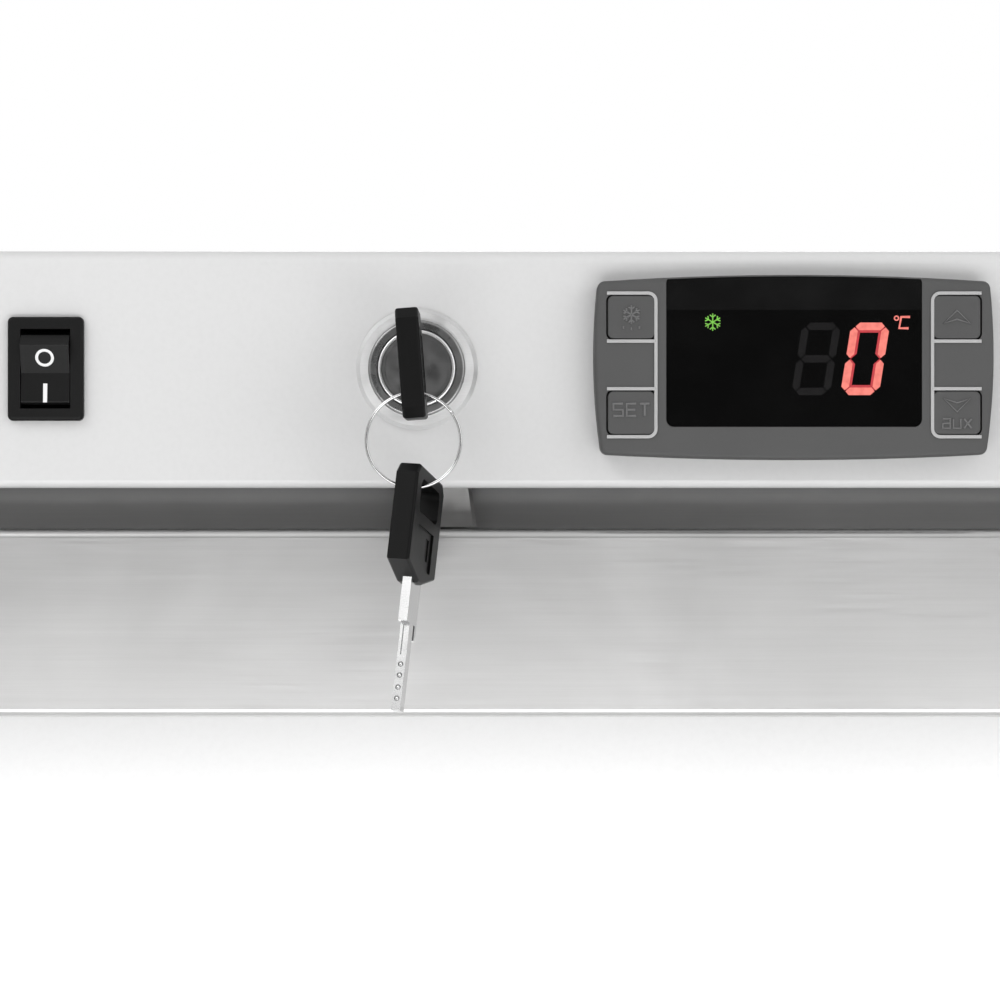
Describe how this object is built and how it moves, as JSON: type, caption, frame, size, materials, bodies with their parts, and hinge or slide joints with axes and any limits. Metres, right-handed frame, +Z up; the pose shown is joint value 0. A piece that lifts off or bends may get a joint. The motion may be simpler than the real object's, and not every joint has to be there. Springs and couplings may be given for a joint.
{
  "type": "ice cream dipping cabinet",
  "caption": "Dipping cabinet for ice cream tubs: lift-up lids over a chilled well, a lockable reserve door below, and a front fascia with switch, lock and controller, on casters.",
  "frame": {"origin": "on the floor, under the middle of the outer box", "axes": "+Z up, the control fascia and door face -Y, +X to the right seen from the front"},
  "size_m": [0.7, 0.7289, 0.906],
  "materials": {
    "white_enamel": "satin",
    "zinc_steel": "satin",
    "foam": "matte",
    "aluminium_sheet": "satin",
    "stainless": "satin",
    "lid_plastic": "satin",
    "liner_plastic": "satin",
    "seal_rubber": "matte",
    "black_steel": "satin",
    "fan_plastic": "satin",
    "copper": "satin",
    "black_plastic": "satin",
    "grey_plastic": "satin",
    "window_black": "gloss",
    "chrome": "polished",
    "wheel_rubber": "matte"
  },
  "bodies": {
    "cabinet": {"side_panel_left": "white_enamel", "side_panel_right": "white_enamel", "rear_panel": "white_enamel", "base_pan": "zinc_steel", "front_grille": "white_enamel", "insulation": "foam", "chamber_liner": "aluminium_sheet", "front_frame": "stainless", "top_deck": "stainless", "lid_wells": "stainless", "control_fascia": "white_enamel", "tub_front_left": "stainless", "tub_front_right": "stainless", "tub_rear_left": "stainless", "tub_rear_right": "stainless", "lid_hinges": "stainless", "door_hinges": "zinc_steel", "compressor": "black_steel", "condenser": "zinc_steel", "fan_motor": "zinc_steel", "refrigerant_tubing": "copper", "power_inlet": "black_plastic", "switch_housing": "black_plastic", "controller_bezel": "grey_plastic", "controller_window": "window_black", "controller_case": "black_plastic", "lock_escutcheon": "chrome", "lock_barrel": "chrome", "lock_nut": "zinc_steel", "caster_plates": "zinc_steel"},
    "lid_front_left": {"lid_front_left": "lid_plastic"},
    "lid_front_right": {"lid_front_right": "lid_plastic"},
    "lid_rear_left": {"lid_rear_left": "lid_plastic"},
    "lid_rear_right": {"lid_rear_right": "lid_plastic"},
    "door": {"door_skin": "white_enamel", "door_core": "foam", "door_liner": "liner_plastic", "door_gasket": "seal_rubber", "door_rail": "stainless"},
    "lock": {"lock_plug": "chrome", "lock_cam": "zinc_steel"},
    "key": {"key_head": "black_plastic", "key_blade": "chrome"},
    "key_ring": {"key_ring": "chrome"},
    "spare_key": {"spare_key_head": "black_plastic", "spare_key_blade": "chrome"},
    "rocker": {"switch_rocker": "black_plastic"},
    "button_defrost": {"button_defrost": "grey_plastic"},
    "button_set": {"button_set": "grey_plastic"},
    "button_up": {"button_up": "grey_plastic"},
    "button_down": {"button_down": "grey_plastic"},
    "fan": {"fan_blade": "fan_plastic"},
    "fork_left": {"caster_fork_left": "zinc_steel"},
    "fork_right": {"caster_fork_right": "zinc_steel"},
    "brake_left": {"brake_lever_left": "black_plastic"},
    "brake_right": {"brake_lever_right": "black_plastic"},
    "wheel_front_left": {"wheel_front_left": "wheel_rubber"},
    "wheel_front_right": {"wheel_front_right": "wheel_rubber"},
    "wheel_rear_left": {"wheel_rear_left": "wheel_rubber"},
    "wheel_rear_right": {"wheel_rear_right": "wheel_rubber"}
  },
  "joints": [
    {"name": "lid_front_left_lift", "type": "hinge", "parent": "cabinet", "child": "lid_front_left", "pos_m": [-0.156, 0.03595, 0.895], "axis": [-1, 0, 0], "range_deg": [0, 85]},
    {"name": "lid_rear_left_lift", "type": "hinge", "parent": "cabinet", "child": "lid_rear_left", "pos_m": [-0.156, 0.06195, 0.895], "axis": [1, 0, 0], "range_deg": [0, 85]},
    {"name": "lid_front_right_lift", "type": "hinge", "parent": "cabinet", "child": "lid_front_right", "pos_m": [0.156, 0.03595, 0.895], "axis": [-1, 0, 0], "range_deg": [0, 85]},
    {"name": "lid_rear_right_lift", "type": "hinge", "parent": "cabinet", "child": "lid_rear_right", "pos_m": [0.156, 0.06195, 0.895], "axis": [1, 0, 0], "range_deg": [0, 85]},
    {"name": "door_swing", "type": "hinge", "parent": "cabinet", "child": "door", "pos_m": [0.335, -0.27705, 0.596], "axis": [0, 0, 1], "range_deg": [0, 105]},
    {"name": "lock_turn", "type": "hinge", "parent": "cabinet", "child": "lock", "pos_m": [0, -0.32805, 0.8755], "axis": [0, -1, 0], "range_deg": [0, 90]},
    {"name": "key_withdraw", "type": "slide", "parent": "lock", "child": "key", "axis": [0, -1, 0], "range_m": [0, 0.022]},
    {"name": "key_ring_swing", "type": "hinge", "parent": "key", "child": "key_ring", "pos_m": [0, -0.3553, 0.8695], "axis": [-1, 0, 0], "range_deg": [-8, 50]},
    {"name": "spare_key_swing", "type": "hinge", "parent": "key_ring", "child": "spare_key", "pos_m": [0, -0.3553, 0.85155], "axis": [-1, 0, 0], "range_deg": [-8, 40]},
    {"name": "rocker_tip", "type": "hinge", "parent": "cabinet", "child": "rocker", "pos_m": [-0.0764, -0.32555, 0.8755], "axis": [-1, 0, 0], "range_deg": [0, 14]},
    {"name": "button_defrost_press", "type": "slide", "parent": "cabinet", "child": "button_defrost", "axis": [0, 1, 0], "range_m": [0, 0.0008], "stiffness_N_per_m": 400, "springref_m": -0.001},
    {"name": "button_set_press", "type": "slide", "parent": "cabinet", "child": "button_set", "axis": [0, 1, 0], "range_m": [0, 0.0008], "stiffness_N_per_m": 400, "springref_m": -0.001},
    {"name": "button_up_press", "type": "slide", "parent": "cabinet", "child": "button_up", "axis": [0, 1, 0], "range_m": [0, 0.0008], "stiffness_N_per_m": 400, "springref_m": -0.001},
    {"name": "button_down_press", "type": "slide", "parent": "cabinet", "child": "button_down", "axis": [0, 1, 0], "range_m": [0, 0.0008], "stiffness_N_per_m": 400, "springref_m": -0.001},
    {"name": "fan_spin", "type": "hinge", "parent": "cabinet", "child": "fan", "pos_m": [-0.09, -0.14405, 0.216], "axis": [0, 1, 0], "continuous": true},
    {"name": "caster_swivel_left", "type": "hinge", "parent": "cabinet", "child": "fork_left", "pos_m": [-0.285, -0.21805, 0.09], "axis": [0, 0, 1], "continuous": true},
    {"name": "wheel_roll_front_left", "type": "hinge", "parent": "fork_left", "child": "wheel_front_left", "pos_m": [-0.285, -0.19005, 0.0375], "axis": [1, 0, 0], "continuous": true},
    {"name": "brake_press_left", "type": "hinge", "parent": "fork_left", "child": "brake_left", "pos_m": [-0.285, -0.17405, 0.08], "axis": [-1, 0, 0], "range_deg": [0, 20]},
    {"name": "wheel_roll_rear_left", "type": "hinge", "parent": "cabinet", "child": "wheel_rear_left", "pos_m": [-0.285, 0.28195, 0.0375], "axis": [1, 0, 0], "continuous": true},
    {"name": "caster_swivel_right", "type": "hinge", "parent": "cabinet", "child": "fork_right", "pos_m": [0.285, -0.21805, 0.09], "axis": [0, 0, 1], "continuous": true},
    {"name": "wheel_roll_front_right", "type": "hinge", "parent": "fork_right", "child": "wheel_front_right", "pos_m": [0.285, -0.19005, 0.0375], "axis": [1, 0, 0], "continuous": true},
    {"name": "brake_press_right", "type": "hinge", "parent": "fork_right", "child": "brake_right", "pos_m": [0.285, -0.17405, 0.08], "axis": [-1, 0, 0], "range_deg": [0, 20]},
    {"name": "wheel_roll_rear_right", "type": "hinge", "parent": "cabinet", "child": "wheel_rear_right", "pos_m": [0.285, 0.28195, 0.0375], "axis": [1, 0, 0], "continuous": true}
  ]
}
